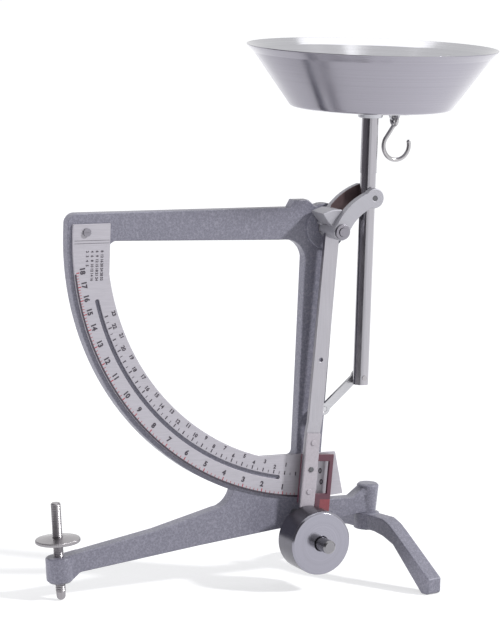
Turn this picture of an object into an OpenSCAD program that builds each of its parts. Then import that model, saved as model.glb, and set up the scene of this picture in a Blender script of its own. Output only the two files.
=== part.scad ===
// Lever balance with a quadrant scale.
// A short forked arm carries the pan stem and a long arm with a weight swings over the scale.
// The stem stays upright because a lower link, as long as the fork, guides its bottom end.
// X is to the right along the scale plate, Y goes to the back, Z is up.
// The origin is on the bench, under the middle of the whole.

/* [Stand] */
// Height of the levelling screw's eye above the bench
eye_gap = 10.6; // [5.6:0.5:24.6]
// Thickness of the quadrant and the column
frame_t = 7.5; // [6:0.5:9]
// Thickness of the base bar
base_t = 8.5; // [7.5:0.5:10]
// Distance from the main pivot to the levelling screw, along X
screw_reach = 160.5; // [155:0.5:170]
// Diameter of the levelling screw
screw_d = 6; // [5:0.5:7]
// Lean of the levelling screw, with its foot towards the middle
screw_lean = 5; // [0:0.5:6]
// Diameter of the milled levelling disc
disc_d = 26; // [22:1:30]
// Distance from the main pivot to the boss that carries the cross leg, along X
boss_reach = 37; // [34:0.5:42]
// Diameter of that boss
boss_d = 13.2; // [12:0.2:15]
// How far each foot of the cross leg reaches from the boss
leg_reach = 58; // [52:1:62]
// Angle by which the cross leg is turned, its front foot away from the levelling screw
leg_turn = 14; // [6:1:18]
// Width of the cross leg's bars
leg_w = 10; // [8:0.5:12]

/* [Scale plate] */
// Outer radius of the scale plate, about the main pivot
scale_r = 160; // [156:0.5:164]
// Width of the scale plate's curved band
scale_band = 21.1; // [19:0.1:23]
// Thickness of the scale plate
plate_t = 1.5; // [1:0.1:2]
// Width of the slot between the two scales
slot_w = 2.4; // [1.6:0.1:3]

/* [Lever] */
// Distance from the main pivot to the fork pin, and length of the lower link
short_arm = 28.2; // [27:0.2:31]
// Angle of the fork above the horizontal with an empty pan
fork_angle = 42; // [39:0.5:46]
// Lean of the long arm to the left of the vertical with an empty pan
arm_lean = 3.6; // [2:0.1:5]
// Distance from the edge of the scale plate out to the weight's post
weight_out = 21.5; // [18:0.5:25]
// Width of the long arm
arm_w = 9.2; // [8:0.2:11]
// Thickness of the long arm
arm_t = 2.5; // [2:0.1:3]
// Diameter of the pivot shaft
shaft_d = 5; // [4:0.5:6]
// Diameter of the weight
weight_d = 37.6; // [34:0.2:40]
// Thickness of the weight
weight_t = 19.5; // [15:0.5:22]
// Diameter of the post that carries the weight
post_d = 8; // [6:0.5:9]

/* [Stem and pan] */
// Diameter of the stem
stem_d = 9.2; // [8.4:0.1:9.8]
// Distance between the fork pin and the lower link's pin on the stem
guide_h = 106.5; // [104:0.5:110]
// Diameter of the pins in the fork and the link
pin_d = 3; // [2.5:0.1:3.5]
// Diameter of the pan over its lip
pan_d = 146; // [138:1:154]
// Diameter of the pan's flat floor
pan_floor_d = 95; // [88:1:100]
// Height of the pan
pan_h = 35.5; // [31:0.5:39]
// Sheet thickness of the pan
pan_t = 0.6; // [0.5:0.1:1]
// Height of the pan's underside above the main pivot
pan_lift = 70.5; // [68:0.5:75]
// Diameter of the wire of the hook
hook_wire = 2.5; // [2:0.1:2.7]

/* [Fits] */
// Radial clearance of every pin or shaft that turns in a hole
turn_fit = 0.05; // [0.02:0.01:0.08]
// Gap between flat faces that slide past each other
side_gap = 0.3; // [0.2:0.05:0.4]

/* [Hidden] */
$fn = 96;

stem_x = short_arm * cos(fork_angle);
pin_z = short_arm * sin(fork_angle);
pan_r = pan_d / 2;

// Layers from front to back, as Y values.
fork_gap = stem_d + 1;
fork_back_t = 4;
fork_front_t = 4.5;
hub_back = fork_gap / 2 + fork_back_t + 0.4;
hub_front = -fork_gap / 2 - fork_front_t;
frame_y = hub_back + 0.6 + plate_t;
frame_back = frame_y + frame_t;
plate_y = frame_y - plate_t;
base_y = frame_y + base_t / 2;
arm_y = 1.5;
arm_back = arm_y + arm_t;
// The long arm is set back at its lower end by the thickness of the pointer plate.
pointer_t = 1.5;
cursor_t = 2;
link_t = 2;
link_y = arm_back + side_gap;

// Levelling screw and disc, with places along the screw from the foot end of the eye
disc_t = 4.2;
disc_rim = 1.6;
screw_above = 46.8;
disc_above = 24.6;

// The whole reaches from the levelling disc to the pan's lip, and the origin is midway.
disc_out = screw_reach + disc_above * sin(screw_lean) + (disc_d / 2) * cos(screw_lean) +
    disc_rim / 2 * sin(screw_lean);
pivot_x = (disc_out - stem_x - pan_r) / 2;
foot_end = leg_reach + 3;
foot_back = base_y + foot_end * cos(leg_turn) + leg_w / 2 * sin(leg_turn);
pivot_y = min(0, (pan_r - foot_back) / 2);

// Frame outline, measured from the main pivot.
frame_r = scale_r + 2.5;
window_r = scale_r - scale_band + 1.8;
bar_low_left = -4;
bar_low_right = -6.6;
bar_high = 12;
column_left_top = -12.2;
column_left_low = -14;
column_right_top = 9;
column_right_low = 2.6;
sill_z = -(scale_r - 25);
corner_r = 6;
head_r = 14;
pad_high = 16.3;
base_low_right = -(scale_r + 14.6);
base_low_left = -(scale_r + 35.8);
base_high_left = -(scale_r + 25.2);
stub_high = -(scale_r + 2.6);
boss_high = -(scale_r - 4.8);
boss_low = -(scale_r + 12.6);
eye_d = 15.6;
eye_low = -(scale_r + 40.4);
eye_h = 15;

// The pivot's height follows from the scale's radius and the room left under the base.
pivot_h = eye_gap - eye_low;

// Scale plate
plate_inner = scale_r - scale_band;
plate_left_inner = -(scale_r - 23);
plate_top = 6.2;
plate_sill = -(scale_r - 26.4);
plate_end_high = 11.2;
plate_end_low = 17.4;
slot_r = scale_r - 10.9;
slot_low_angle = 10.1;
slot_high_angle = 75.2;
plate_screw_d = 2.5;
plate_head_d = 4.6;
base_screw_d = 3;
base_head_d = 5.6;

// Cross leg
leg_top = boss_low;
leg_hub_t = 10;
leg_hub_d = 15;
leg_bend = 25;
leg_knee = 29;
foot_t = 9.4;
leg_screw_d = 5;
leg_head_d = 8.5;
leg_head_t = 3.6;

// Lever
fork_sag = 3.2;
fork_arc_r = (pow(short_arm / 2, 2) + pow(fork_sag, 2)) / (2 * fork_sag);
fork_half = asin(short_arm / 2 / fork_arc_r);
prong_w = 9.4;
prong_rise = 2.8;
bush_d = 9;
nut_d = 9;
nut_t = 1.8;
hub_d = 10.4;
web_reach = 9;
back_tip_d = 14;
front_tip_d = 11.6;
weight_reach = scale_r + weight_out;
set_start = scale_r - 47;
set_end = scale_r - 40;
pointer_in = 39.5;
pointer_out = 8;
pointer_top = scale_r - pointer_in;
pointer_end = scale_r + pointer_out;
pointer_w = 8.6;
cursor_in = 26.5;
cursor_out = 2.5;
cursor_top = scale_r - cursor_in;
cursor_end = scale_r + cursor_out;
cursor_left = -pointer_w / 2;
cursor_w = 12;
cursor_bar = 2.6;
cursor_head = 4.2;
cursor_sill = 5.4;
tab_w = 10;
tab_h = 7.5;
rivet_d = 2.2;
rivet_top = scale_r - 34;
rivet_mid = scale_r - 18.2;
rivet_low = scale_r - 5;
balance_hole = 76.7;
post_out = 11;
collar_d = 13;

// Stem, link and pan
link_w = 5.2;
eye_r = 3.6;
stem_end = guide_h + 4.2;
stem_top_d = 9.8;
stem_bore = stem_d - 2;
seat_d = 40;
seat_t = 1.5;
seat_boss_d = 16;
seat_boss_h = 4;
button_d = 12;
button_h = 3;
lip_w = 4.2;
lip_rise = 4.5;
hook_x = 15.9;
hook_eye_r = hook_wire / 2 + 1.75;
hook_r = 8.4;
hook_hang = 22.1;
hook_drop = pan_lift - hook_hang;
lug_t = 1.8;
lug_z = pan_lift - seat_t - 2.6;
lug_hole = hook_wire + 1;
lug_r = lug_hole / 2 + 1.7;

module at_pivot() translate([pivot_x, pivot_y, pivot_h]) children();

// A flat shape drawn in X and Z about the pivot, given thickness from y0 to y1.
module slab(y0, y1) translate([0, y1, 0]) rotate([90, 0, 0]) linear_extrude(y1 - y0) children();

// A round bar along Y from y0 to y1.
module bar_y(d, y0, y1) translate([0, y1, 0]) rotate([90, 0, 0]) cylinder(d = d, h = y1 - y0);

// Things on the long arm are drawn hanging straight down and then leant over.
module on_arm() at_pivot() rotate([0, arm_lean, 0]) children();

module at_stem() at_pivot() translate([stem_x, 0, 0]) children();

// Concave fillet of radius r in the corner at the origin, between +X and +Y.
module fillet(r) {
    difference() {
        square(r);
        translate([r, r]) circle(r = r);
    }
}

// Stand

module quadrant_outline() {
    intersection() {
        difference() {
            circle(r = frame_r);
            circle(r = window_r);
        }
        translate([-frame_r, -frame_r]) square([frame_r + column_right_low, frame_r]);
    }
    // top bar with its rounded outer corner
    translate([-frame_r + corner_r, bar_high - corner_r]) circle(r = corner_r);
    polygon([[-frame_r, 0], [-frame_r, bar_high - corner_r], [-frame_r + corner_r, bar_high],
        [0, bar_high], [0, bar_low_right], [-30, bar_low_right], [-window_r, bar_low_left], [-window_r, 0]]);
    translate([-window_r + 3, bar_low_left]) mirror([0, 1]) fillet(6);
    translate([-window_r - 1, bar_low_left - 12]) square([4, 13]);
    // column
    polygon([[column_left_top, 0], [column_right_top, 0], [column_right_top, -12],
        [column_right_low, sill_z], [column_right_low, stub_high - 2],
        [column_left_low, stub_high - 2], [column_left_low, sill_z]]);
    translate([column_left_top, bar_low_right]) rotate(180) fillet(13);
    // sill between the curved band and the column
    polygon([[-46, sill_z], [column_left_low, sill_z], [column_left_low, sill_z - 15],
        [-46, sill_z - 15]]);
    translate([column_left_low, sill_z]) mirror([1, 0]) fillet(3);
    // head round the bearing, with the raised pad at its left
    circle(r = head_r);
    polygon([[-24, bar_high - 2], [-20.5, pad_high], [-11.5, pad_high], [-6, bar_high], [-6, 8],
        [-24, 8]]);
}

module base_outline() {
    rim = -scale_r;
    polygon([[-screw_reach, base_high_left], [57.7 - screw_reach, rim - 13.8], [-63.8, rim - 3.3],
        [-47, rim - 2.6], [-47, rim + 5.5], [column_right_low, rim + 6], [column_right_low, stub_high],
        [boss_reach - 12, stub_high], [boss_reach - 4, boss_high - 1.2], [boss_reach, boss_high - 1.2],
        [boss_reach, boss_low], [boss_reach - leg_hub_d / 2 - side_gap, boss_low],
        [boss_reach - 20, base_low_right], [-25.5, base_low_right - 3.9],
        [-74.7, base_low_right - 9.9], [10.2 - screw_reach, base_low_left + 1],
        [4.5 - screw_reach, base_low_left - 4.2], [-screw_reach, base_low_left - 4.2]]);
    // the bar runs up to the quadrant in a curve
    translate([0, rim]) difference() {
        polygon([[-65, -6], [-46, -5], [-46, 8], [-57, 9.5]]);
        translate([-67.2, 9.5]) circle(r = 13.5);
    }
}

// Along the levelling screw, from the foot end of its eye. The screw leans in the plane of the scale.
module at_screw() translate([-screw_reach, base_y, eye_low]) rotate([0, -screw_lean, 0]) children();

module frame() {
    color("slategray") at_pivot() difference() {
        union() {
            slab(frame_y, frame_back) quadrant_outline();
            slab(frame_y, frame_y + base_t) base_outline();
            bar_y(2 * head_r - 3, hub_back + 0.6, frame_back + 2.5);
            at_screw() {
                translate([0, 0, 1.6]) cylinder(d = eye_d, h = eye_h - 2.4);
                cylinder(d1 = eye_d - 3.2, d2 = eye_d, h = 1.6);
                translate([0, 0, eye_h - 0.8]) cylinder(d1 = eye_d, d2 = eye_d - 1.6, h = 0.8);
            }
            translate([boss_reach, base_y, boss_low]) {
                cylinder(d1 = boss_d - 2.6, d2 = boss_d, h = boss_high - boss_low - 1.2);
                translate([0, 0, boss_high - boss_low - 1.2])
                    cylinder(d1 = boss_d, d2 = boss_d - 2.4, h = 1.2);
            }
        }
        bar_y(bush_d, hub_back, frame_back + 3);
        at_screw() translate([0, 0, -10]) cylinder(d = screw_d + 2 * turn_fit, h = eye_h + 20);
        translate([boss_reach, base_y, boss_low - 1]) cylinder(d = leg_screw_d, h = 13);
        translate([0, 0, -guide_h]) bar_y(pin_d + 1, frame_y - 1, frame_back + 1);
        plate_screw_places() bar_y(plate_screw_d, frame_y - 1, frame_y + 5);
        base_screw_place() bar_y(base_screw_d, frame_y - 1, frame_y + 5);
    }
}

module plate_screw_places() {
    translate([-(scale_r - 8.4), 0, plate_top - 4.6]) children();
    rotate([0, 3.2, 0]) translate([0, 0, -slot_r]) children();
}

module base_screw_place() translate([column_left_low - 0.4, 0, -(scale_r + 9.7)]) children();

module arc_slot(r, w, a0, a1) {
    // both angles are measured from straight down towards the left
    intersection() {
        difference() {
            circle(r = r + w / 2);
            circle(r = r - w / 2);
        }
        polygon([[0, 0], 1.3 * r * [-sin(a0), -cos(a0)], 1.6 * r * [-sin(45), -cos(45)],
            1.3 * r * [-sin(a1), -cos(a1)]]);
    }
    for (a = [a0, a1]) rotate(-a) translate([0, -r]) circle(d = w + 0.1);
}

module scale_plate() {
    color("lightgray") at_pivot() difference() {
        slab(plate_y, frame_y) difference() {
            intersection() {
                circle(r = scale_r);
                polygon([[-2 * scale_r, plate_top], [0, plate_top], [plate_end_high, plate_sill],
                    [plate_end_low, -scale_r], [plate_end_low, -2 * scale_r],
                    [-2 * scale_r, -2 * scale_r]]);
            }
            // the inner edge is round, but straight at the top and at the sill
            intersection() {
                circle(r = plate_inner);
                translate([plate_left_inner, plate_sill]) square(2 * scale_r);
            }
            arc_slot(slot_r, slot_w, slot_low_angle, slot_high_angle);
        }
        plate_screw_places() bar_y(plate_screw_d + 0.1, plate_y - 1, frame_y + 1);
    }
}

module cheese_head(d, t, shank_d, y, depth) {
    difference() {
        bar_y(d, y - t, y);
        translate([-d, y - t - 0.1, -0.3]) cube([2 * d, t / 2, 0.6]);
    }
    bar_y(shank_d, y - 0.2, y + depth);
}

module plate_screws() {
    color("silver") at_pivot() plate_screw_places()
        cheese_head(plate_head_d, 1.2, plate_screw_d, plate_y, 5);
}

module base_screw() {
    color("silver") at_pivot() base_screw_place()
        cheese_head(base_head_d, 1.4, base_screw_d, frame_y, 4.2);
}

module bearing_bush() {
    color("goldenrod") at_pivot() difference() {
        bar_y(bush_d, hub_back + 0.4, frame_back + 2.7);
        bar_y(shaft_d + 2 * turn_fit, hub_back - 1, frame_back + 4);
    }
}

module link_post() {
    color("silver") at_pivot() translate([0, 0, -guide_h]) {
        bar_y(2 * eye_r, link_y + link_t + 0.1, frame_y);
        bar_y(pin_d, link_y + 0.05, frame_y);
        bar_y(pin_d + 1, frame_y - 0.5, frame_back);
    }
}

// Side view of one half of the cross leg: reach outward along X, height along Y.
module leg_outline() {
    foot = -pivot_h;
    high = leg_top - 0.5;
    low = leg_top - leg_hub_t + 0.5;
    polygon([[0, high], [leg_bend - 6, high], [leg_bend, high - 2.4], [leg_bend + 6, high - 6.4],
        [foot_end, foot + foot_t], [foot_end, foot + 1.2], [foot_end - 1.4, foot], [foot_end - 6, foot],
        [leg_knee, low - 4.8], [leg_knee - 9, low - 1.4], [leg_knee - 17, low], [0, low]]);
}

module cross_leg() {
    color("slategray") at_pivot() translate([boss_reach, base_y, 0]) rotate([0, 0, leg_turn]) difference() {
        union() {
            translate([0, 0, leg_top - leg_hub_t]) cylinder(d = leg_hub_d, h = leg_hub_t);
            for (side = [-90, 90]) rotate([0, 0, side]) slab(-leg_w / 2, leg_w / 2) leg_outline();
        }
        translate([0, 0, leg_top - leg_hub_t - 1]) {
            cylinder(d = leg_screw_d, h = leg_hub_t + 2);
            cylinder(d = leg_head_d + 1, h = leg_head_t + 1.4);
        }
    }
}

module leg_screw() {
    color("dimgray") at_pivot() translate([boss_reach, base_y, leg_top - leg_hub_t]) difference() {
        union() {
            translate([0, 0, 0.4]) cylinder(d = leg_head_d, h = leg_head_t);
            translate([0, 0, 0.4]) cylinder(d = leg_screw_d, h = leg_hub_t + 10);
        }
        cylinder(d = 4.6, h = 2.6, $fn = 6);
    }
}

module level_screw() {
    // the rounded tip stands on the bench
    below = (pivot_h + eye_low - screw_d / 2) / cos(screw_lean);
    color("silver") at_pivot() at_screw() translate([0, 0, -below]) {
        sphere(d = screw_d);
        cylinder(d = screw_d, h = below + screw_above - 0.8);
        translate([0, 0, below + screw_above - 0.8]) cylinder(d1 = screw_d, d2 = screw_d - 1.6, h = 0.8);
    }
}

module level_disc() {
    low = (disc_t - disc_rim) / 2;
    color("silver") at_pivot() at_screw() translate([0, 0, disc_above - disc_t / 2]) difference() {
        rotate_extrude() polygon([[0, 0], [screw_d / 2 + 2, 0], [disc_d / 2 - 0.4, low - 0.2],
            [disc_d / 2, low + 0.2], [disc_d / 2, low + disc_rim - 0.2],
            [disc_d / 2 - 0.4, low + disc_rim + 0.2], [screw_d / 2 + 2, disc_t], [0, disc_t]]);
        translate([0, 0, -1]) cylinder(d = screw_d + 2 * turn_fit, h = disc_t + 2);
    }
}

// Lever

module pivot_shaft() {
    color("silver") at_pivot() bar_y(shaft_d, hub_front - nut_t - 0.6, frame_back + 6);
}

module shaft_nuts() {
    color("dimgray") at_pivot() difference() {
        union() {
            bar_y(nut_d, hub_front - nut_t, hub_front);
            bar_y(nut_d, frame_back + 2.7 + side_gap, frame_back + 5.4);
        }
        bar_y(shaft_d, hub_front - nut_t - 1, frame_back + 7);
    }
}

// A prong is an arc from the main pivot up over to the fork pin.
module prong(low, high, tip_d) {
    rotate(fork_angle) {
        translate([short_arm / 2, fork_sag - fork_arc_r]) intersection() {
            difference() {
                circle(r = fork_arc_r + high);
                circle(r = fork_arc_r - low);
            }
            polygon([[0, 0], 2 * fork_arc_r * [-sin(fork_half), cos(fork_half)], [0, 3 * fork_arc_r],
                2 * fork_arc_r * [sin(fork_half), cos(fork_half)]]);
        }
        translate([short_arm, 0]) circle(d = tip_d);
    }
}

// The web joins the two prongs above the shaft, with its corner at the left.
module fork_web() {
    polygon([[-11, 10.4], [-4.2, 12.6], [1.4, 12.4], [web_reach, 4], [hub_d / 2 - 0.6, -1],
        [0, -1], [-7.2, 5.4]]);
}

module lever_fork() {
    color("gainsboro") at_pivot() difference() {
        union() {
            bar_y(hub_d, hub_front, hub_back);
            slab(-fork_gap / 2 - 1, fork_gap / 2 + 1) fork_web();
            slab(fork_gap / 2, hub_back - 0.4) {
                prong(prong_w / 2, prong_w / 2 + prong_rise, back_tip_d);
                fork_web();
            }
            slab(hub_front, -fork_gap / 2) prong(prong_w / 2, prong_w / 2, front_tip_d);
        }
        bar_y(shaft_d, hub_front - 1, hub_back + 1);
        rotate([0, arm_lean, 0]) translate([-arm_w / 2, arm_y, -30]) cube([arm_w, arm_t, 36]);
        translate([stem_x, 0, pin_z]) bar_y(pin_d, hub_front - 1, hub_back + 1);
    }
}

module fork_pin() {
    color("dimgray") at_stem() translate([0, 0, pin_z]) bar_y(pin_d, hub_front + 0.4, hub_back - 0.4);
}

module long_arm() {
    low = arm_back + pointer_t;
    color("gainsboro") on_arm() difference() {
        union() {
            // edge view of the strip, with its set-back, given the strip's width
            translate([-arm_w / 2, 0, 0]) rotate([90, 0, 90]) linear_extrude(arm_w)
                polygon([[arm_y, 6], [arm_y, -set_start], [arm_y + pointer_t, -set_end],
                    [arm_y + pointer_t, -weight_reach], [low, -weight_reach],
                    [low, -set_end], [arm_back, -set_start], [arm_back, 6]]);
            translate([0, 0, -weight_reach]) bar_y(collar_d, arm_y + pointer_t, low);
        }
        bar_y(shaft_d, -5, 5);
        translate([0, 0, -balance_hole]) bar_y(2.4, -5, 5);
        arm_rivet_places() bar_y(rivet_d, -5, 9);
        translate([0, 0, -weight_reach]) bar_y(post_d - 2, -5, 9);
    }
}

module arm_rivet_places() {
    for (s = [rivet_top, rivet_mid, rivet_low]) translate([0, 0, -s]) children();
}

module pointer_plate() {
    color("whitesmoke") on_arm() difference() {
        slab(arm_y, arm_y + pointer_t) polygon([[-pointer_w / 2, -pointer_top],
            [pointer_w / 2, -pointer_top], [pointer_w / 2, -pointer_end + 2],
            [pointer_w / 2 - 2, -pointer_end], [-pointer_w / 2 + 2, -pointer_end],
            [-pointer_w / 2, -pointer_end + 2]]);
        arm_rivet_places() bar_y(rivet_d, -5, 9);
    }
}

// Window with its frame at the right of the arm, close over the scale.
module cursor() {
    y0 = arm_back + pointer_t;
    right = arm_w / 2 + cursor_w;
    color("darkred") on_arm() difference() {
        slab(y0, y0 + cursor_t) difference() {
            union() {
                translate([cursor_left, -cursor_end]) square([right - cursor_left, cursor_end - cursor_top]);
                translate([right - tab_w, -cursor_end - tab_h]) square([tab_w, tab_h + 1]);
            }
            translate([arm_w / 2 + 0.6, -cursor_end + cursor_sill]) square([
                cursor_w - cursor_bar - 0.6, cursor_end - cursor_top - cursor_sill - cursor_head]);
        }
        arm_rivet_places() bar_y(rivet_d, -5, 12);
    }
}

module arm_rivets() {
    y1 = arm_back + pointer_t + cursor_t;
    color("dimgray") on_arm() difference() {
        union() {
            arm_rivet_places() {
                bar_y(rivet_d, arm_y - 0.3, y1 + 0.3);
                bar_y(rivet_d + 1, arm_y - 0.6, arm_y);
            }
            for (s = [rivet_mid, rivet_low]) translate([0, 0, -s]) bar_y(rivet_d + 1, y1, y1 + 0.6);
        }
        translate([0, 0, -rivet_top]) bar_y(rivet_d + 6, arm_back + pointer_t, 20);
    }
}

module weight_post() {
    y0 = arm_y + pointer_t;
    color("silver") on_arm() translate([0, 0, -weight_reach]) {
        bar_y(post_d - 2, y0 - 0.5, arm_back + pointer_t + 1);
        bar_y(collar_d - 2, arm_back + pointer_t, arm_back + pointer_t + 1.6);
        bar_y(collar_d, 0, y0);
        translate([0, 0.5, 0]) rotate([90, 0, 0]) cylinder(d = post_d, h = weight_t + post_out - 0.5);
        translate([0, -weight_t - post_out + 1, 0]) rotate([90, 0, 0])
            cylinder(d1 = post_d, d2 = post_d - 2, h = 1);
    }
}

module weight() {
    r = weight_d / 2;
    color("lightsteelblue") on_arm() translate([0, -side_gap / 2, -weight_reach]) rotate([90, 0, 0])
        rotate_extrude() polygon([[post_d / 2 + turn_fit, 0], [r - 1, 0], [r, 1], [r, weight_t - 1],
            [r - 1, weight_t], [post_d / 2 + turn_fit + 0.6, weight_t],
            [post_d / 2 + turn_fit, weight_t - 0.6]]);
}

// Stem, link and pan

module stem() {
    shoulder = pin_z + 14;
    top = pan_lift - seat_t;
    color("silver") at_stem() difference() {
        union() {
            translate([0, 0, -stem_end + pin_z]) cylinder(d = stem_d, h = stem_end + 14);
            translate([0, 0, shoulder - 0.1]) cylinder(d = stem_top_d, h = top - shoulder + 0.1);
        }
        translate([0, 0, pin_z - guide_h + 12]) cylinder(d = stem_bore, h = guide_h + 100);
        translate([0, 0, pin_z]) bar_y(pin_d + 2 * turn_fit, -20, 20);
        translate([0, 0, pin_z - guide_h]) bar_y(pin_d, -20, 20);
        // the lower end is cut flat at the back for the link
        translate([-10, link_y - 0.1, -stem_end + pin_z - 1]) cube([20, 10, 4.4 + eye_r + 3]);
    }
}

module link_pin() {
    color("dimgray") at_stem() translate([0, 0, pin_z - guide_h]) {
        bar_y(pin_d, -stem_d / 2 - 0.4, link_y + link_t + 1.2);
        bar_y(pin_d + 2, link_y + link_t + side_gap, link_y + link_t + 1.4);
    }
}

module lower_link() {
    color("whitesmoke") at_pivot() translate([0, 0, -guide_h]) rotate([0, -fork_angle, 0])
        difference() {
            union() {
                translate([0, link_y, -link_w / 2]) cube([short_arm, link_t, link_w]);
                for (x = [0, short_arm]) translate([x, 0, 0]) bar_y(2 * eye_r, link_y, link_y + link_t);
            }
            for (x = [0, short_arm]) translate([x, 0, 0]) bar_y(pin_d + 2 * turn_fit, 0, 10);
        }
}

module pan_seat() {
    top = pan_lift;
    color("silver") at_stem() difference() {
        union() {
            translate([0, 0, top - seat_t]) cylinder(d = seat_d, h = seat_t);
            translate([0, 0, top - seat_t - seat_boss_h])
                cylinder(d1 = seat_boss_d - 2, d2 = seat_boss_d, h = seat_boss_h);
            cylinder(d = button_d, h = top + button_h);
            translate([hook_x, 0, lug_z]) bar_y(2 * lug_r, -lug_t / 2, lug_t / 2);
            translate([hook_x - lug_r, -lug_t / 2, lug_z]) cube([2 * lug_r, lug_t, top - lug_z]);
        }
        translate([0, 0, -1]) cylinder(d = button_d + 2, h = top - seat_t - seat_boss_h + 1);
        cylinder(d = stem_top_d, h = top - seat_t);
        translate([hook_x, 0, lug_z]) bar_y(lug_hole, -lug_t, lug_t);
    }
}

module pan() {
    r0 = pan_floor_d / 2;
    r1 = pan_r - lip_w;
    z1 = pan_h - lip_rise;
    dimple = button_d / 2 + side_gap + 1;
    peak = button_h + side_gap;
    color("lightsteelblue") at_stem() translate([0, 0, pan_lift]) rotate_extrude() polygon([
        [0, peak], [dimple - 1, peak], [dimple, 0], [r0 - 3, 0], [r0 - 1, 0.6], [r0 + 0.4, 2],
        [r1, z1], [pan_r - 0.3, pan_h - 0.7], [pan_r, pan_h],
        [r1 - pan_t, z1 + pan_t], [r0 - pan_t * 0.7, 2.6], [r0 - 1.8, pan_t + 0.5],
        [r0 - 3.2, pan_t], [dimple + pan_t, pan_t], [dimple + pan_t - 1, peak + pan_t],
        [0, peak + pan_t]]);
}

module wire_arc(r, a0, a1) {
    rotate([90, 0, 0]) rotate([0, 0, a0]) rotate_extrude(angle = a1 - a0)
        translate([r, 0]) circle(d = hook_wire, $fn = 32);
}

module wire_line(x0, z0, x1, z1) {
    run = norm([x1 - x0, z1 - z0]);
    translate([x0, 0, z0]) rotate([0, atan2(x1 - x0, z1 - z0), 0]) cylinder(d = hook_wire, h = run, $fn = 32);
}

module hook() {
    eye_z = lug_z - hook_eye_r;
    bow_x = hook_x + 1.9;
    start = 152;
    end = 374;
    x0 = bow_x + hook_r * cos(start);
    z0 = hook_drop + hook_r * sin(start);
    color("silver") at_stem() {
        // the eye stands across the bow, so that it passes through the lug
        translate([hook_x, 0, eye_z]) rotate([0, 0, 90]) wire_arc(hook_eye_r, 0, 360);
        wire_line(x0, z0, hook_x, eye_z - hook_eye_r);
        translate([x0, 0, z0]) sphere(d = hook_wire + 0.06, $fn = 32);
        translate([bow_x, 0, hook_drop]) {
            wire_arc(hook_r, start, end);
            rotate([0, -end, 0]) translate([hook_r, 0, 0]) sphere(d = hook_wire + 0.06, $fn = 32);
        }
    }
}

frame();
scale_plate();
plate_screws();
base_screw();
bearing_bush();
link_post();
cross_leg();
leg_screw();
level_screw();
level_disc();
pivot_shaft();
shaft_nuts();
lever_fork();
fork_pin();
long_arm();
pointer_plate();
cursor();
arm_rivets();
weight_post();
weight();
stem();
link_pin();
lower_link();
pan_seat();
pan();
hook();
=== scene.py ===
import math
import bmesh
import bpy
from mathutils import Matrix, Vector


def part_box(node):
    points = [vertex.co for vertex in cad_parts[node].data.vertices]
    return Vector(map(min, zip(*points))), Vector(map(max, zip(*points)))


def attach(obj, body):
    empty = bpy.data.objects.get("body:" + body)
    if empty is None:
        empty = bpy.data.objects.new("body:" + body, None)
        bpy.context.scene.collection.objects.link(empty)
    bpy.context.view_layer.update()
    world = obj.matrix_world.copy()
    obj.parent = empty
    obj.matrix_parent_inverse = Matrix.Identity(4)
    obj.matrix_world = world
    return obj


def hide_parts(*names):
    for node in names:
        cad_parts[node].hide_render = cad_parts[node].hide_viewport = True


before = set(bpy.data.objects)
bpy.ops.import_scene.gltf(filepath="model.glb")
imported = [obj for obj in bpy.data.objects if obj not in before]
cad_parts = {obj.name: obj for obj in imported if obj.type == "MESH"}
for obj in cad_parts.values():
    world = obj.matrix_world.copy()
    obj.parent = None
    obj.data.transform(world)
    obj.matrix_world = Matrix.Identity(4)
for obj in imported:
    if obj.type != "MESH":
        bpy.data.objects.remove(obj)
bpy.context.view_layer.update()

MM = 0.001
TAU = 2 * math.pi


def middle(node):
    low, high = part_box(node)
    return (low + high) / 2


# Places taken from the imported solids, in metres.
PIVOT = middle("pivot_shaft")
STEM_X, STEM_Y = middle("stem").xy
PAN_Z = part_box("pan")[0].z
PLATE_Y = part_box("scale_plate")[0].y

# How far the long arm and the levelling screw lean, as in the source.
ARM_LEAN = math.radians(3.6)
SCREW_LEAN = math.radians(-5)

# The directions down along the long arm and across it to the right.
ARM_DOWN = Vector((-math.sin(ARM_LEAN), 0, -math.cos(ARM_LEAN)))
ARM_RIGHT = Vector((math.cos(ARM_LEAN), 0, -math.sin(ARM_LEAN)))


def at_pivot(x, y, z):
    """A point in mm from the main pivot, with y counted from the stem's middle."""
    return Vector((PIVOT.x + x * MM, STEM_Y + y * MM, PIVOT.z + z * MM))


# Materials

# Nearly all of a noise's values lie between these two.
NOISE_LOW, NOISE_HIGH = 0.3, 0.7
COAT_ROUGH = 0.12


def scaled(color, share):
    return tuple(c * share for c in color)


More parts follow.
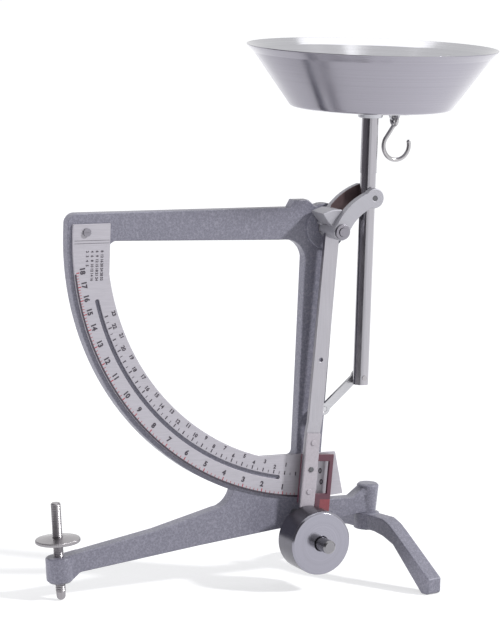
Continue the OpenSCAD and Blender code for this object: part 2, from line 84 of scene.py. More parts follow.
class Shader:
    """A node material with a few short calls."""

    def __init__(self, name, color, metallic=0.0, rough=0.4, coat=0.0, specular=0.5):
        self.mat = bpy.data.materials.new(name)
        self.mat.use_nodes = True
        self.tree = self.mat.node_tree
        self.bsdf = self.tree.nodes["Principled BSDF"]
        self.set("Base Color", (*color, 1))
        self.set("Metallic", metallic)
        self.set("Roughness", rough)
        self.set("Coat Weight", coat)
        self.set("Coat Roughness", COAT_ROUGH)
        self.set("Specular IOR Level", specular)
        self.normal = None

    def set(self, socket, value):
        self.bsdf.inputs[socket].default_value = value

    def node(self, kind, **values):
        """A node with values for its inputs or its own settings."""
        n = self.tree.nodes.new(kind)
        for key, value in values.items():
            if key in n.inputs:
                n.inputs[key].default_value = value
            else:
                setattr(n, key, value)
        return n

    def link(self, a, b):
        self.tree.links.new(a, b)

    def place(self, turn=(0, 0, 0), stretch=(1, 1, 1)):
        """Object coordinates, turned and stretched."""
        coords = self.node("ShaderNodeTexCoord")
        mapping = self.node("ShaderNodeMapping", Rotation=turn, Scale=stretch)
        self.link(coords.outputs["Object"], mapping.inputs["Vector"])
        return mapping.outputs["Vector"]

    def times(self, value, factor):
        n = self.node("ShaderNodeMath", operation="MULTIPLY")
        n.inputs[1].default_value = factor
        self.link(value, n.inputs[0])
        return n.outputs[0]

    def rings(self, centre, axis, scale):
        """Distance from an axis and place along it, so that a texture runs round the axis."""
        coords = self.node("ShaderNodeTexCoord")
        from_centre = self.node("ShaderNodeVectorMath", operation="SUBTRACT")
        from_centre.inputs[1].default_value = centre
        self.link(coords.outputs["Object"], from_centre.inputs[0])
        split = self.node("ShaderNodeSeparateXYZ")
        self.link(from_centre.outputs[0], split.inputs[0])
        across = [a for a in "XYZ" if a != axis]
        flat = self.node("ShaderNodeCombineXYZ")
        self.link(split.outputs[across[0]], flat.inputs["X"])
        self.link(split.outputs[across[1]], flat.inputs["Y"])
        length = self.node("ShaderNodeVectorMath", operation="LENGTH")
        self.link(flat.outputs[0], length.inputs[0])
        both = self.node("ShaderNodeCombineXYZ")
        self.link(self.times(length.outputs["Value"], scale), both.inputs["X"])
        self.link(self.times(split.outputs[axis], scale), both.inputs["Y"])
        return both.outputs[0]

    def noise(self, vector, scale, detail=3.0, rough=0.5):
        n = self.node("ShaderNodeTexNoise", Scale=scale, Detail=detail, Roughness=rough)
        self.link(vector, n.inputs["Vector"])
        return n.outputs["Fac"]

    def cells(self, vector, scale):
        n = self.node("ShaderNodeTexVoronoi", feature="SMOOTH_F1", Scale=scale)
        self.link(vector, n.inputs["Vector"])
        return n.outputs["Distance"]

    def ramp(self, value, *stops):
        """A colour ramp with (place, colour or grey) stops."""
        n = self.node("ShaderNodeValToRGB")
        elements = n.color_ramp.elements
        while len(elements) < len(stops):
            elements.new(0.5)
        for element, (at, color) in zip(elements, stops):
            element.position = at
            if not isinstance(color, tuple):
                color = (color, color, color)
            element.color = (*color, 1)
        self.link(value, n.inputs["Fac"])
        return n.outputs["Color"]

    def bump(self, height, distance, strength):
        """Adds a bump to those that the material has."""
        n = self.node("ShaderNodeBump", Strength=strength, Distance=distance)
        self.link(height, n.inputs["Height"])
        if self.normal:
            self.link(self.normal, n.inputs["Normal"])
        self.normal = n.outputs["Normal"]
        self.link(self.normal, self.bsdf.inputs["Normal"])

    def color(self, out):
        self.link(out, self.bsdf.inputs["Base Color"])

    def rough(self, out):
        self.link(out, self.bsdf.inputs["Roughness"])


def hammertone():
    """Blue-grey hammered enamel: small dimples, and specks of lighter flake."""
    m = Shader("hammertone_enamel", (0.2, 0.2, 0.24), metallic=0.1, rough=0.45, coat=0.15)
    dark, blue_grey, flake = (0.142, 0.140, 0.178), (0.186, 0.183, 0.230), (0.27, 0.265, 0.32)
    v = m.place()
    dimples = m.cells(v, scale=900)
    flakes = m.noise(v, scale=2200, detail=2, rough=0.6)
    broad = m.noise(v, scale=40)
    # half of the dimples' depth added to the flakes
    mix = m.node("ShaderNodeMath", operation="MULTIPLY_ADD")
    m.link(dimples, mix.inputs[0])
    mix.inputs[1].default_value = 0.5
    m.link(flakes, mix.inputs[2])
    m.color(m.ramp(mix.outputs[0], (0.4, dark), (0.7, blue_grey), (0.95, flake)))
    m.rough(m.ramp(broad, (NOISE_LOW, 0.4), (NOISE_HIGH, 0.52)))
    m.bump(dimples, distance=0.0003, strength=0.3)
    m.bump(broad, distance=0.001, strength=0.1)
    return m.mat


def turned(name, color, centre, rough, axis="Z", lines=2600, depth=0.00006, strength=0.35,
           metallic=1.0):
    """Metal turned or spun about an axis, with fine rings."""
    m = Shader(name, color, metallic=metallic, rough=rough)
    fine = m.noise(m.rings(centre, axis, lines), scale=1.0, detail=4, rough=0.6)
    wide = m.noise(m.place(), scale=30)
    m.bump(fine, depth, strength)
    m.rough(m.ramp(wide, (NOISE_LOW, rough - 0.05), (NOISE_HIGH, rough + 0.07)))
    m.color(m.ramp(fine, (NOISE_LOW, scaled(color, 0.9)), (NOISE_HIGH, color)))
    return m.mat


def drawn(name, color, rough, turn=(0, 0, 0), stretch=(1, 1, 0.03), metallic=1.0, strength=0.3):
    """Metal with fine lines along one direction."""
    m = Shader(name, color, metallic=metallic, rough=rough)
    lines = m.noise(m.place(turn, stretch), scale=2200, rough=0.6)
    wide = m.noise(m.place(), scale=45)
    m.bump(lines, 0.00005, strength)
    m.rough(m.ramp(wide, (NOISE_LOW, rough - 0.06), (NOISE_HIGH, rough + 0.1)))
    m.color(m.ramp(lines, (NOISE_LOW, scaled(color, 0.88)), (NOISE_HIGH, color)))
    return m.mat


def lacquer(name, color, rough=0.35):
    """Smooth paint with slight waves and tiny marks."""
    m = Shader(name, color, rough=rough, coat=0.3)
    v = m.place()
    marks = m.noise(v, scale=700, detail=4, rough=0.7)
    waves = m.noise(v, scale=90, detail=2)
    m.color(m.ramp(marks, (NOISE_LOW, scaled(color, 0.85)), (0.65, color)))
    m.rough(m.ramp(waves, (NOISE_LOW, rough - 0.06), (NOISE_HIGH, rough + 0.1)))
    m.bump(waves, distance=0.0003, strength=0.08)
    return m.mat


def ink(name, color):
    """Flat printing ink, slightly uneven."""
    m = Shader(name, color, rough=0.55)
    uneven = m.noise(m.place(), scale=900, detail=2)
    low = tuple(c * 0.8 + 0.01 for c in color)
    m.color(m.ramp(uneven, (NOISE_LOW, low), (NOISE_HIGH, color)))
    return m.mat


# The weight's middle lies this far down the arm, in metres.
WEIGHT_REACH = 0.1815
STEM_AXIS = (STEM_X, STEM_Y, 0)
PIVOT_AXIS = tuple(PIVOT)
WEIGHT_AXIS = tuple(PIVOT + ARM_DOWN * WEIGHT_REACH)

HAMMERTONE = hammertone()
PAN_METAL = turned("spun_pan_metal", (0.32, 0.31, 0.35), STEM_AXIS, rough=0.2,
                   lines=1500, depth=0.0001)
# A lighter copy of the pan's metal for its inside: a smoother polish, and painted light.
PAN_INSIDE_LIT = turned("polished_pan_inside_painted_light", (0.51, 0.51, 0.535), STEM_AXIS, rough=0.14,
                    lines=1500, depth=0.00005, strength=0.2)
SEAT_METAL = turned("turned_seat_metal", (0.45, 0.45, 0.48), STEM_AXIS, rough=0.25)
STEM_METAL = drawn("polished_stem", (0.38, 0.37, 0.395), rough=0.14, stretch=(1, 1, 0.02),
                   strength=0.12)
FORK_METAL = turned("satin_fork", (0.40, 0.395, 0.43), PIVOT_AXIS, rough=0.5, axis="Y",
                    lines=1800, depth=0.00005, strength=0.25, metallic=0.6)
# A dark copy of the fork's metal: painted shade on the rear prong's inner face.
FORK_SHADE = turned("satin_fork_painted_shade", (0.14, 0.095, 0.10), PIVOT_AXIS, rough=0.4, axis="Y",
                    lines=1800, depth=0.00005, strength=0.25, metallic=0.6)
ARM_METAL = drawn("brushed_arm", (0.385, 0.375, 0.405), rough=0.36, turn=(0, -ARM_LEAN, 0))
LINK_METAL = drawn("link_steel", (0.47, 0.47, 0.49), rough=0.3, turn=(0, math.radians(42), 0),
                   stretch=(0.03, 1, 1))
STEEL = drawn("bright_steel", (0.5, 0.5, 0.52), rough=0.22, stretch=(1, 0.05, 1))
WEIGHT_METAL = turned("turned_weight", (0.32, 0.315, 0.362), WEIGHT_AXIS, rough=0.17, axis="Y",
                      lines=2200, depth=0.00005, strength=0.3)
# A darker copy of the weight's metal for its rim: painted shade, with a rougher finish.
WEIGHT_SIDE_SHADE = turned("turned_weight_side_painted_shade", (0.17, 0.165, 0.19), WEIGHT_AXIS, rough=0.3,
                     axis="Y", lines=2200, depth=0.00005, strength=0.3)
POST_METAL = turned("turned_post", (0.26, 0.255, 0.27), WEIGHT_AXIS, rough=0.22, axis="Y")
NICKEL = drawn("nickel_plate", (0.36, 0.345, 0.36), rough=0.22, strength=0.12)
HOOK_METAL = drawn("hook_wire_metal", (0.42, 0.41, 0.42), rough=0.16, strength=0.1)
NUT_METAL = drawn("nut_steel", (0.25, 0.24, 0.27), rough=0.34)
DARK_STEEL = drawn("blackened_steel", (0.13, 0.13, 0.14), rough=0.36)
BRONZE = turned("bearing_bronze", (0.60, 0.44, 0.22), PIVOT_AXIS, rough=0.3, axis="Y")
PLATE = drawn("satin_plate", (0.465, 0.447, 0.49), rough=0.4, turn=(0, math.radians(30), 0),
              stretch=(0.05, 1, 1), metallic=0.3, strength=0.12)
POINTER = lacquer("pointer_enamel", (0.46, 0.425, 0.465))
# A shaded and a lit copy of the cursor's red: painted shade over most of it, painted light on
# one corner.
CURSOR_SHADED_RED = lacquer("cursor_red_painted_shade", (0.095, 0.02, 0.04))
CURSOR_LIT_RED = lacquer("cursor_red_painted_light", (0.235, 0.032, 0.045))
INK = ink("scale_ink", (0.05, 0.04, 0.055))
INK_RED = ink("scale_ink_red", (0.40, 0.03, 0.05))


def paint(obj, mat):
    obj.data.materials.clear()
    obj.data.materials.append(mat)


def paint_nodes(*pairs):
    """Materials for the CAD nodes that stay as they are."""
    for node, mat in pairs:
        paint(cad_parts[node], mat)


def paint_faces(obj, mat, test):
    """A second material for the faces that pass a test."""
    obj.data.materials.append(mat)
    for p in obj.data.polygons:
        if test(p):
            p.material_index = 1


# Making pieces

# Faces that meet at more than CORNER degrees are shaded apart, and those of the pieces
# made of many small steps from STEPPED_CORNER on.
CORNER, STEPPED_CORNER = 50, 60


def shade(mesh, corner):
    """Normals weighted by area, so that flat faces stay flat and only small edges look round."""
    limit = math.cos(math.radians(corner))
    around = [[] for v in mesh.vertices]
    for p in mesh.polygons:
        p.use_smooth = True
        for v in p.vertices:
            around[v].append(p)
    normals = []
    for p in mesh.polygons:
        for v in p.vertices:
            total = Vector()
            for q in around[v]:
                if p.normal.dot(q.normal) > limit:
                    total += q.normal * q.area
            normals.append(total.normalized() if total.length > 0 else p.normal)
    mesh.normals_split_custom_set(normals)


def finish_piece(obj, body, mat, corner=CORNER):
    """Shading, material and body of a piece."""
    paint(obj, mat)
    shade(obj.data, corner)
    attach(obj, body)
    return obj


def mesh_object(name, bm):
    mesh = bpy.data.meshes.new(name)
    bm.to_mesh(mesh)
    bm.free()
    obj = bpy.data.objects.new(name, mesh)
    bpy.context.scene.collection.objects.link(obj)
    return obj


# Points closer than this are one, in metres: of a CAD node, of a mesh made here, and where
# a cut or a fine section must keep its smallest steps.
WELD, JOIN, TINY = 2e-6, 1e-6, 1e-7

# Angles between two faces. Below FLAT they become one, above EDGE the edge between them is
# rounded, and above SLIT they are the two sides of a slit.
FLAT, EDGE, SLIT = math.radians(0.8), math.radians(25), math.radians(178)

# The frame's outline is rounded up to the levelling screw's eye, and above EYE_TOP beyond it.
EYE_END = at_pivot(-149, 0, 0)
EYE_TOP = PIVOT.z - 0.165


def front_or_back(face):
    return abs(face.normal.y) > 0.999


def outline_edge(e):
    """An edge of the frame's outline, between a front or back face and one across it."""
    one, two = e.link_faces
    left = min(e.verts, key=lambda v: v.co.x).co
    short_of_eye = left.x > EYE_END.x - JOIN or left.z > EYE_TOP
    return front_or_back(one) != front_or_back(two) and short_of_eye


def close_slits(bm):
    """Moves the bottom of a slit that has no width to its mouth."""
    for e in bm.edges:
        if e.is_manifold and not e.is_convex and e.calc_face_angle(0) > SLIT:
            for v in e.verts:
                near = min((o.other_vert(v) for o in v.link_edges if o is not e),
                           key=lambda w: (w.co - v.co).length)
                v.co = near.co
    bmesh.ops.remove_doubles(bm, verts=bm.verts, dist=WELD)


def soften(node, name, body, mat, width, segments=2, only=None, cuts=()):
    """A copy of a CAD node with edges rounded by a width in mm, which stands for it."""
    bm = bmesh.new()
    bm.from_mesh(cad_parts[node].data)
    bmesh.ops.remove_doubles(bm, verts=bm.verts, dist=WELD)
    bmesh.ops.dissolve_limit(bm, angle_limit=FLAT, verts=bm.verts, edges=bm.edges)
    close_slits(bm)
    for place, normal in cuts:
        bmesh.ops.bisect_plane(bm, geom=bm.verts[:] + bm.edges[:] + bm.faces[:], dist=TINY,
                               plane_co=place, plane_no=normal)
    edges = [e for e in bm.edges if e.is_manifold and e.calc_face_angle(0) > EDGE
             and e.is_convex and (only is None or only(e))]
    bmesh.ops.bevel(bm, geom=edges, offset=width * MM, segments=segments, profile=0.5,
                    affect="EDGES", clamp_overlap=False)
    bmesh.ops.recalc_face_normals(bm, faces=bm.faces)
    obj = mesh_object(name, bm)
    finish_piece(obj, body, mat)
    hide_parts(node)
    return obj


def lathe(bm, profile, matrix, steps, wave=None):
    """Turns a closed profile of (r, h) points in mm about the local Z axis."""
    rings = []
    for i in range(steps):
        a = TAU * i / steps
        ring = []
        for k, (r, h) in enumerate(profile):
            if wave:
                r += wave(k, a)
            point = Vector((r * MM * math.cos(a), r * MM * math.sin(a), h * MM))
            ring.append(bm.verts.new(matrix @ point))
        rings.append(ring)
    n = len(profile)
    for i in range(steps):
        one, two = rings[i], rings[(i + 1) % steps]
        for k in range(n):
            m = (k + 1) % n
            bm.faces.new((one[k], two[k], two[m], one[m]))
    bmesh.ops.remove_doubles(bm, verts=bm.verts, dist=TINY)
    bmesh.ops.recalc_face_normals(bm, faces=bm.faces)


# A rounding has this many steps, and takes at most this share of the side next to it.
ROUNDING_STEPS, SIDE_SHARE = 5, 0.49


def rounded(corners):
    """The outline through (r, h, radius) corners in mm, each rounded to its radius."""
    points = [Vector(corner[:2]) for corner in corners]
    outline = []
    for i, (r, h, radius) in enumerate(corners):
        if not radius:
            outline.append((r, h))
            continue
        a, b, c = points[i - 1], points[i], points[(i + 1) % len(points)]
        u, v = (a - b).normalized(), (c - b).normalized()
        reach = radius / math.tan(u.angle(v) / 2)
        cut = min(reach, (a - b).length * SIDE_SHARE, (c - b).length * SIDE_SHARE)
        s, e = b + u * cut, b + v * cut
        for k in range(ROUNDING_STEPS + 1):
            t = k / ROUNDING_STEPS
            outline.append(tuple(s * (1 - t) ** 2 + b * 2 * t * (1 - t) + e * t * t))
    return outline


# Stand

soften("frame", "frame_casting", "stand", HAMMERTONE, 0.6, only=outline_edge,
       cuts=((EYE_END, (1, 0, 0)),))
soften("cross_leg", "cross_leg_casting", "stand", HAMMERTONE, 0.7)
soften("scale_plate", "scale_plate_sheet", "stand", PLATE, 0.18, segments=1)
paint_nodes(("plate_screws", NUT_METAL), ("base_screw", LINK_METAL), ("bearing_bush", BRONZE),
            ("link_post", STEEL), ("leg_screw", DARK_STEEL))

# The levelling screw, in mm along its leaning axis from the foot end of the eye. TIP is the
# middle of the ball end, and the thread fades out above it.
SCREW_FOOT = at_pivot(-160.5, 15.85, -200.4)
SCREW_FRAME = Matrix.Translation(SCREW_FOOT) @ Matrix.Rotation(SCREW_LEAN, 4, "Y")
SCREW_R, PITCH, THREAD = 3.0, 1.0, 0.3
TIP, FADE, SCREW_TOP, CHAMFER = -7.63, 1.5, 46.8, 0.8
THREAD_LOW = TIP + FADE
BALL_ROWS, ROWS_PER_TURN, SCREW_SIDES = 9, 8, 40


def screw_point(row, a):
    """Radius and height of a row at an angle. Rows below 0 make the ball end."""
    if row < 0:
        t = (BALL_ROWS + row) / BALL_ROWS * math.pi / 2
        return (SCREW_R - THREAD) * math.sin(t), TIP - SCREW_R * math.cos(t)
    h = min(THREAD_LOW + PITCH * row / ROWS_PER_TURN, SCREW_TOP)
    thread = SCREW_R - THREAD * abs(2 * ((h / PITCH - a / TAU) % 1.0) - 1)
    fade = SCREW_R - THREAD * (1 - min(1.0, (h - THREAD_LOW) / FADE))
    chamfer = SCREW_R - max(0, h - SCREW_TOP + CHAMFER)
    return min(thread, fade, chamfer), h


def screw_mesh():
    bm = bmesh.new()
    rows = int((SCREW_TOP - THREAD_LOW) / PITCH * ROWS_PER_TURN)
    grid = []
    for row in range(-BALL_ROWS, rows + 1):
        ring = []
        for i in range(SCREW_SIDES):
            a = TAU * i / SCREW_SIDES
            r, h = screw_point(row, a)
            point = Vector((r * math.cos(a), r * math.sin(a), h)) * MM
            ring.append(bm.verts.new(SCREW_FRAME @ point))
        grid.append(ring)
    for one, two in zip(grid, grid[1:]):
        for i in range(SCREW_SIDES):
            m = (i + 1) % SCREW_SIDES
            bm.faces.new((one[i], one[m], two[m], two[i]))
    bm.faces.new(list(reversed(grid[0])))
    bm.faces.new(grid[-1])
    bmesh.ops.remove_doubles(bm, verts=bm.verts, dist=JOIN)
    bmesh.ops.recalc_face_normals(bm, faces=bm.faces)
    return mesh_object("levelling_screw_threaded", bm)


screw = finish_piece(screw_mesh(), "foot_screw", NICKEL, STEPPED_CORNER)
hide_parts("level_screw")

# The lens-shaped disc on it, with the place of its middle along the screw, in mm.
DISC_R, DISC_THICK, DISC_PLACE = 13, 4.2, 24.6
NOTCHES, NOTCH_DEPTH, STEPS_PER_NOTCH = 72, 0.22, 8
DISC_SECTION = [
    (3.05, 0, 0), (5, 0, 3), (12.6, 1.1, 0), (DISC_R, 1.5, 0), (DISC_R, 2.7, 0), (12.6, 3.1, 0),
    (5, DISC_THICK, 3), (3.05, DISC_THICK, 0)]


def disc_mesh():
    bm = bmesh.new()
    profile = rounded(DISC_SECTION)

    def mill(k, a):
        """How far the rim's points go in at an angle."""
        on_rim = profile[k][0] > DISC_R - 0.05
        return -NOTCH_DEPTH * (0.5 - 0.5 * math.cos(NOTCHES * a)) if on_rim else 0

    place = Matrix.Translation((0, 0, (DISC_PLACE - DISC_THICK / 2) * MM))
    lathe(bm, profile, SCREW_FRAME @ place, STEPS_PER_NOTCH * NOTCHES, mill)
    return mesh_object("levelling_disc_milled", bm)


disc = finish_piece(disc_mesh(), "foot_disc", NICKEL)
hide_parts("level_disc")

# Lever

# The cursor's painted light, a brighter red, starts this far down the arm and right of its
# middle.
LIT_DOWN, LIT_RIGHT = 0.1605, 0.0098
# The rivet at this place down the arm is the dark one of the three.
DARK_RIVET = 0.1418


def down_arm(p):
    return (p.center - PIVOT).dot(ARM_DOWN)


def right_of_arm(p):
    return (p.center - PIVOT).dot(ARM_RIGHT)


# The rear prong's inner face, which is given painted shade.
def inside_rear_prong(p):
    return p.normal.y < -0.7 and p.center.y > STEM_Y and p.center.x > PIVOT.x


fork = soften("lever_fork", "lever_fork_polished", "lever", FORK_METAL, 0.5)
paint_faces(fork, FORK_SHADE, inside_rear_prong)
soften("long_arm", "long_arm_strip", "lever", ARM_METAL, 0.3)
soften("pointer_plate", "pointer_plate_enamel", "lever", POINTER, 0.2)
# The cursor is cut where its painted light starts, and the faces beyond get the lit red.
cursor = soften("cursor", "cursor_frame", "lever", CURSOR_SHADED_RED, 0.25,
                cuts=((PIVOT + ARM_DOWN * LIT_DOWN, ARM_DOWN),
                      (PIVOT + ARM_RIGHT * LIT_RIGHT, ARM_RIGHT)))
paint_faces(cursor, CURSOR_LIT_RED, lambda p: down_arm(p) > LIT_DOWN and right_of_arm(p) > LIT_RIGHT)
soften("shaft_nuts", "shaft_nuts_turned", "lever", NUT_METAL, 0.3)
rivets = soften("arm_rivets", "arm_rivets_domed", "lever", DARK_STEEL, 0.3)
paint_faces(rivets, POINTER, lambda p: abs(down_arm(p) - DARK_RIVET) > 0.005)
paint_nodes(("pivot_shaft", NUT_METAL), ("fork_pin", DARK_STEEL), ("weight_post", POST_METAL))

weight = soften("weight", "weight_turned", "counterweight", WEIGHT_METAL, 0.25)
# The weight's rim gets the painted shade.
paint_faces(weight, WEIGHT_SIDE_SHADE, lambda p: abs(p.normal.y) < 0.5)

# Stem and pan

soften("lower_link", "lower_link_bar", "guide_link", LINK_METAL, 0.3)
soften("pan_seat", "pan_seat_turned", "pan_stem", SEAT_METAL, 0.25)
paint_nodes(("stem", STEM_METAL), ("link_pin", NICKEL), ("hook", HOOK_METAL))

# The pan's section in mm above its lowest point, first the outside from the middle to the
# lip and then the inside back. The middle stands up over the seat's button.
PAN_STEPS = 240
PAN_SECTION = [
    (0, 3.3, 0), (6.3, 3.3, 0.5), (7.3, 0, 0.5), (44.5, 0, 3), (46.9, 0.7, 2), (48.2, 2.4, 2),
    (68.8, 31, 3), (72.7, 34.8, 0), (73.0, 35.2, 0), (72.9, 35.5, 0), (72.6, 35.4, 0),
    (68.3, 31.6, 3), (47.5, 2.8, 2), (45.7, 1.2, 2), (44.2, 0.6, 3), (8.0, 0.6, 0.5),
    (7.0, 3.9, 0.5), (0, 3.9, 0)]


def pan_mesh():
    bm = bmesh.new()
    place = Matrix.Translation((STEM_X, STEM_Y, PAN_Z))
    lathe(bm, rounded(PAN_SECTION), place, PAN_STEPS)
    return mesh_object("pan_spun", bm)


def inside_pan(p):
    """A face that looks away from outwards and a little down."""
    outwards = Vector((p.center.x - STEM_X, p.center.y - STEM_Y, -0.02))
    return p.normal.dot(outwards) < 0


pan = finish_piece(pan_mesh(), "pan", PAN_METAL, STEPPED_CORNER)
# The pan's inside gets the lighter copy, partly painted light.
paint_faces(pan, PAN_INSIDE_LIT, inside_pan)
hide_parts("pan")

# Scales on the plate. Lengths are in mm and angles in degrees, counted from straight below
# the pivot to the left.

INK_Y = PLATE_Y - 0.00006
STROKE_THICK = Vector((0, 0.00005, 0))
TEXT_THICK = 0.00003

# Where the outer scale's numbers stand, from zero to the last.
OUTER = [3.6, 8.3, 13.4, 18.1, 23.1, 28.1, 33.4, 38.7, 43.6, 48.6, 53.1, 57.9, 62.0, 66.0, 69.9,
         73.3, 76.3, 79.2, 82.2]
# The inner scale is even and ends lower.
INNER = [5.75 + 2.85 * i for i in range(24)]


def on_plate(r, angle, side=0.0):
    """A point at a radius and an angle, moved sideways."""
    a = math.radians(angle)
    return Vector((PIVOT.x - r * MM * math.sin(a) + side * MM * math.cos(a), INK_Y,
                   PIVOT.z - r * MM * math.cos(a) - side * MM * math.sin(a)))


def on_header(x, z):
    """A point to the right of and above the pivot."""
    return Vector((PIVOT.x + x * MM, INK_Y, PIVOT.z + z * MM))


def stroke(bm, corners):
    """A thin raised patch with the given corners on the plate's face."""
    front = [bm.verts.new(c) for c in corners]
    back = [bm.verts.new(c + STROKE_THICK) for c in corners]
    bm.faces.new(front)
    bm.faces.new(list(reversed(back)))
    n = len(corners)
    for i in range(n):
        j = (i + 1) % n
        bm.faces.new((front[j], front[i], back[i], back[j]))


def between(places, share):
    """The angle at a share of the way along the numbered places."""
    i = min(int(share), len(places) - 2)
    return places[i] + (places[i + 1] - places[i]) * (share - i)


def ticks(bm, places, parts, numbered, plain, end):
    """Ticks at the numbered places and at equal parts between them. Numbered and plain ticks
    have an inner radius and a width each, and all end at the same radius."""
    for i in range((len(places) - 1) * parts + 1):
        start, width = plain if i % parts else numbered
        angle, h = between(places, i / parts), width / 2
        stroke(bm, [on_plate(start, angle, -h), on_plate(end, angle, -h),
                    on_plate(end, angle, h), on_plate(start, angle, h)])


def outer_ticks(bm):
    ticks(bm, OUTER, 5, numbered=(157.0, 0.55), plain=(157.6, 0.32), end=158.9)


def inner_ticks(bm):
    ticks(bm, INNER, 2, numbered=(145.0, 0.7), plain=(145.6, 0.4), end=147.2)


def arc(bm, r, width, start, end):
    """An arc of strokes of about one degree."""
    n, h = int(end - start), width / 2
    for i in range(n):
        s, e = start + (end - start) * i / n, start + (end - start) * (i + 1) / n
        stroke(bm, [on_plate(r - h, s), on_plate(r + h, s), on_plate(r + h, e),
                    on_plate(r - h, e)])


def header_line(bm, left, right, z, width):
    h = width / 2
    stroke(bm, [on_header(left, z - h), on_header(right, z - h), on_header(right, z + h),
                on_header(left, z + h)])


def borders(bm):
    # Painted shadow: a dark arc along the plate's outer edge, next to the frame's rim.
    arc(bm, 159.4, width=1.1, start=1.0, end=82)
    # The two lines under the header are print.
    for z in (-3.2, -4.8):
        header_line(bm, left=-158.9, right=-137.6, z=z, width=0.22)


def number(bm, text, size, place, angle, bold):
    """A number with its foot outwards, made bolder by a share of its size."""
    curve = bpy.data.curves.new("number", "FONT")
    curve.body = text
    curve.size = size * MM
    curve.align_x = "CENTER"
    curve.align_y = "CENTER"
    curve.resolution_u = 3
    curve.extrude = TEXT_THICK
    curve.offset = bold * size * MM
    obj = bpy.data.objects.new("number", curve)
    bpy.context.scene.collection.objects.link(obj)
    bpy.context.view_layer.update()
    evaluated = obj.evaluated_get(bpy.context.evaluated_depsgraph_get())
    mesh = bpy.data.meshes.new_from_object(evaluated)
    bpy.data.objects.remove(obj)
    bpy.data.curves.remove(curve)
    turn = Matrix.Rotation(math.radians(angle), 4, "Y")
    upright = Matrix.Rotation(math.radians(90), 4, "X")
    mesh.transform(Matrix.Translation(place) @ turn @ upright)
    # A text's faces come apart from its sides, so they are joined before they are added.
    joined = bmesh.new()
    joined.from_mesh(mesh)
    bmesh.ops.remove_doubles(joined, verts=joined.verts, dist=JOIN)
    joined.to_mesh(mesh)
    joined.free()
    bm.from_mesh(mesh)
    bpy.data.meshes.remove(mesh)


def outer_numbers(bm):
    """The numbers stand a little past their ticks."""
    two_digits, one_digit, past = 155.1, 154.6, 0.3
    for i, angle in enumerate(OUTER[1:], 1):
        r = two_digits if i > 9 else one_digit
        number(bm, str(i), 4.2, on_plate(r, angle + past), angle, bold=0.05)


def inner_numbers(bm):
    """Odd and even numbers stand in two rows, so that they don't meet."""
    odd, even = 141.3, 143.3
    for i, angle in enumerate(INNER[1:], 1):
        number(bm, str(i), 3.1, on_plate(odd if i % 2 else even, angle), angle, bold=0.045)


def zero_marks(bm):
    """The zeros of the two scales, which stand in the cursor's window at rest."""
    for r, angle in ((144.8, -0.6), (151.5, -0.95)):
        number(bm, "0", 4.2, on_plate(r, angle), angle, bold=0.05)


def number_table(bm):
    """A small table of plain numbers under the header, with a shorter first column."""
    left, top, column_width, row_height = -151.0, -9.5, 3.0, 2.6
    for column, rows in enumerate((4, 7, 7, 7)):
        for row in range(rows):
            place = on_header(left + column_width * column, top - row_height * row)
            number(bm, str((column + 1) * (row + 2)), 2.2, place, 90, bold=0.03)


for name, build, mat in (
        ("outer_scale_ticks", outer_ticks, INK_RED), ("inner_scale_ticks", inner_ticks, INK),
        ("plate_edge_shadow_and_header_lines", borders, INK), ("outer_scale_numbers", outer_numbers, INK),
        ("inner_scale_numbers", inner_numbers, INK), ("number_table", number_table, INK),
        ("zero_marks", zero_marks, INK)):
    bm = bmesh.new()
    build(bm)
    bmesh.ops.recalc_face_normals(bm, faces=bm.faces)
    finish_piece(mesh_object(name, bm), "stand", mat)

# Camera, fitted to the photograph, with its focal length and height in pixels

scene = bpy.context.scene
AZ, EL, ROLL = math.radians(26.39), math.radians(8.96), math.radians(1.81)
CAMERA_PLACE = (-0.81185, -1.61465, 0.4441)
FOCAL_PX, HEIGHT_PX, SENSOR = 3171.4, 640, 36

back = Vector((-math.sin(AZ) * math.cos(EL), -math.cos(AZ) * math.cos(EL), math.sin(EL)))
level_right = (-back).cross(Vector((0, 0, 1))).normalized()
level_up = level_right.cross(-back)
right = level_right * math.cos(ROLL) + level_up * math.sin(ROLL)
up = level_up * math.cos(ROLL) - level_right * math.sin(ROLL)
camera = bpy.data.objects.new("camera", bpy.data.cameras.new("camera"))
camera.matrix_world = (Matrix.Translation(CAMERA_PLACE)
                       @ Matrix((right, up, back)).transposed().to_4x4())
camera.data.sensor_fit = "AUTO"
camera.data.sensor_width = SENSOR
camera.data.lens = FOCAL_PX * SENSOR / HEIGHT_PX
camera.data.clip_end = 100
scene.collection.objects.link(camera)
scene.camera = camera


# Light

def lamp(name, kind, energy, direction, place=(0, 0, 0)):
    """A lamp that shines along a direction."""
    light = bpy.data.lights.new(name, kind)
    light.energy = energy
    obj = bpy.data.objects.new(name, light)
    obj.location = place
    obj.rotation_euler = Vector(direction).to_track_quat("-Z", "Y").to_euler()
    scene.collection.objects.link(obj)
    return obj


def area(name, place, target, size, energy, mirrored):
    """A soft rectangular lamp, which polished metal mirrors or not."""
    obj = lamp(name, "AREA", energy, Vector(target) - Vector(place), place)
    obj.data.shape = "RECTANGLE"
    obj.data.size, obj.data.size_y = size
    obj.visible_glossy = mirrored


key_sun = lamp("key_sun", "SUN", energy=3.0, direction=(-0.75, 0.66, -0.7))
key_sun.data.angle = math.radians(6)
area("left_fill", (-2.4, 0.15, 0.35), (0, 0, 0.15), (1.2, 0.6), energy=38, mirrored=False)
area("front_fill", (-1.3, -1.8, 0.5), (0, 0, 0.15), (1.0, 0.8), energy=6, mirrored=False)
area("top_soft", (0.2, 0.2, 1.8), (0, 0, 0.2), (1.4, 1.4), energy=7, mirrored=True)


def seen_rays(tree):
    """One for camera, glossy and transmission rays, so that metal shows the white too."""
    path = tree.nodes.new("ShaderNodeLightPath")
    total = path.outputs["Is Camera Ray"]
    for kind in ("Is Glossy Ray", "Is Transmission Ray"):
        most = tree.nodes.new("ShaderNodeMath")
        most.operation = "MAXIMUM"
        tree.links.new(total, most.inputs[0])
        tree.links.new(path.outputs[kind], most.inputs[1])
        total = most.outputs[0]
    return total


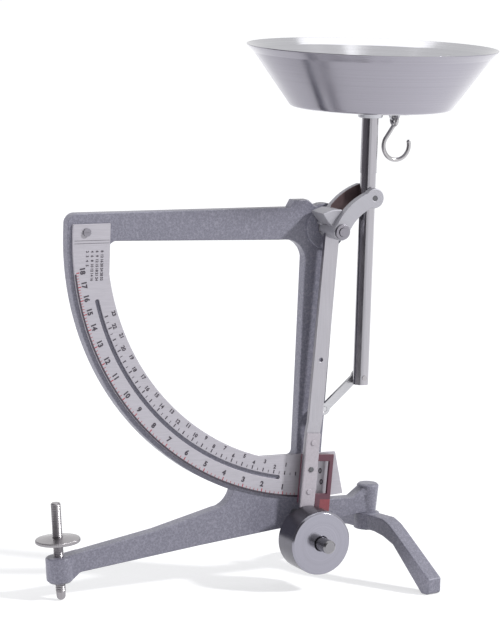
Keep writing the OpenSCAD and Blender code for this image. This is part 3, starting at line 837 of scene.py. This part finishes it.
def light_world(color, strength):
    """Soft light of a colour all round, and plain white where the world is seen."""
    world = bpy.data.worlds.new("studio")
    scene.world = world
    world.use_nodes = True
    tree = world.node_tree
    tree.nodes.clear()
    soft = tree.nodes.new("ShaderNodeBackground")
    soft.inputs["Color"].default_value = (*color, 1)
    soft.inputs["Strength"].default_value = strength
    white = tree.nodes.new("ShaderNodeBackground")
    white.inputs["Color"].default_value = (1, 1, 1, 1)
    mix = tree.nodes.new("ShaderNodeMixShader")
    tree.links.new(seen_rays(tree), mix.inputs["Fac"])
    tree.links.new(soft.outputs[0], mix.inputs[1])
    tree.links.new(white.outputs[0], mix.inputs[2])
    out = tree.nodes.new("ShaderNodeOutputWorld")
    tree.links.new(mix.outputs[0], out.inputs["Surface"])


light_world((0.93, 0.95, 1.0), 0.29)

# Floor

FLOOR_SIDES, FLOOR_Z = 96, -0.0002
FLOOR_RADII = (1.0, 30.0)
# How much the floor glows where it is seen, and where metal mirrors it from left to right.
SEEN_GLOW = 0.6
GLOW_LEFT, GLOW_RIGHT = 0.52, 0.95
LEFT_X, RIGHT_X = -0.2, 0.35


def floor_material():
    m = Shader("pale_floor", (0.52, 0.52, 0.53), rough=0.9, specular=0.0)
    clouds = m.noise(m.place(), scale=3, detail=2)
    m.color(m.ramp(clouds, (NOISE_LOW, (0.51, 0.51, 0.52)), (NOISE_HIGH, (0.53, 0.53, 0.54))))
    m.set("Emission Color", (1, 1, 1, 1))
    split = m.node("ShaderNodeSeparateXYZ")
    m.link(m.place(), split.inputs[0])
    across = m.node("ShaderNodeMapRange")
    m.link(split.outputs["X"], across.inputs["Value"])
    for socket, value in (("From Min", LEFT_X), ("From Max", RIGHT_X), ("To Min", GLOW_LEFT),
                          ("To Max", GLOW_RIGHT)):
        across.inputs[socket].default_value = value
    path = m.node("ShaderNodeLightPath")
    pick = m.node("ShaderNodeMix")
    pick.inputs[2].default_value = SEEN_GLOW
    m.link(path.outputs["Is Glossy Ray"], pick.inputs[0])
    m.link(across.outputs[0], pick.inputs[3])
    glow = m.node("ShaderNodeMath", operation="MULTIPLY")
    m.link(seen_rays(m.tree), glow.inputs[0])
    m.link(pick.outputs[0], glow.inputs[1])
    m.link(glow.outputs[0], m.bsdf.inputs["Emission Strength"])
    return m.mat


def floor_mesh():
    """A disc, fine near the part and wide enough to reach the horizon."""
    bm = bmesh.new()
    angles = [TAU * i / FLOOR_SIDES for i in range(FLOOR_SIDES)]
    inner, outer = ([bm.verts.new((r * math.cos(a), r * math.sin(a), FLOOR_Z)) for a in angles]
                    for r in FLOOR_RADII)
    bm.faces.new(inner)
    for i in range(FLOOR_SIDES):
        j = (i + 1) % FLOOR_SIDES
        bm.faces.new((inner[i], inner[j], outer[j], outer[i]))
    return mesh_object("floor", bm)


floor = floor_mesh()
paint(floor, floor_material())

# A dark curved card to the left of the camera, which only metal sees, in metres and in
# degrees from the camera's own side.
CARD_R, CARD_HEIGHT = 0.6, 0.8
CARD_START, CARD_ARC, CARD_PARTS = 4, 106, 24


def card_mesh():
    bm = bmesh.new()
    columns = []
    for i in range(CARD_PARTS + 1):
        a = AZ + math.radians(CARD_START + CARD_ARC * i / CARD_PARTS)
        x, y = STEM_X - CARD_R * math.sin(a), STEM_Y - CARD_R * math.cos(a)
        columns.append([bm.verts.new((x, y, z)) for z in (0.0, CARD_HEIGHT)])
    for one, two in zip(columns, columns[1:]):
        bm.faces.new((one[0], one[1], two[1], two[0]))
    return mesh_object("dark_card", bm)


card = card_mesh()
paint(card, Shader("dark_card", (0.19, 0.18, 0.195), rough=1.0, specular=0.0).mat)
card.visible_camera = card.visible_diffuse = card.visible_transmission = False
card.visible_volume_scatter = card.visible_shadow = False

scene.view_settings.view_transform = "Standard"
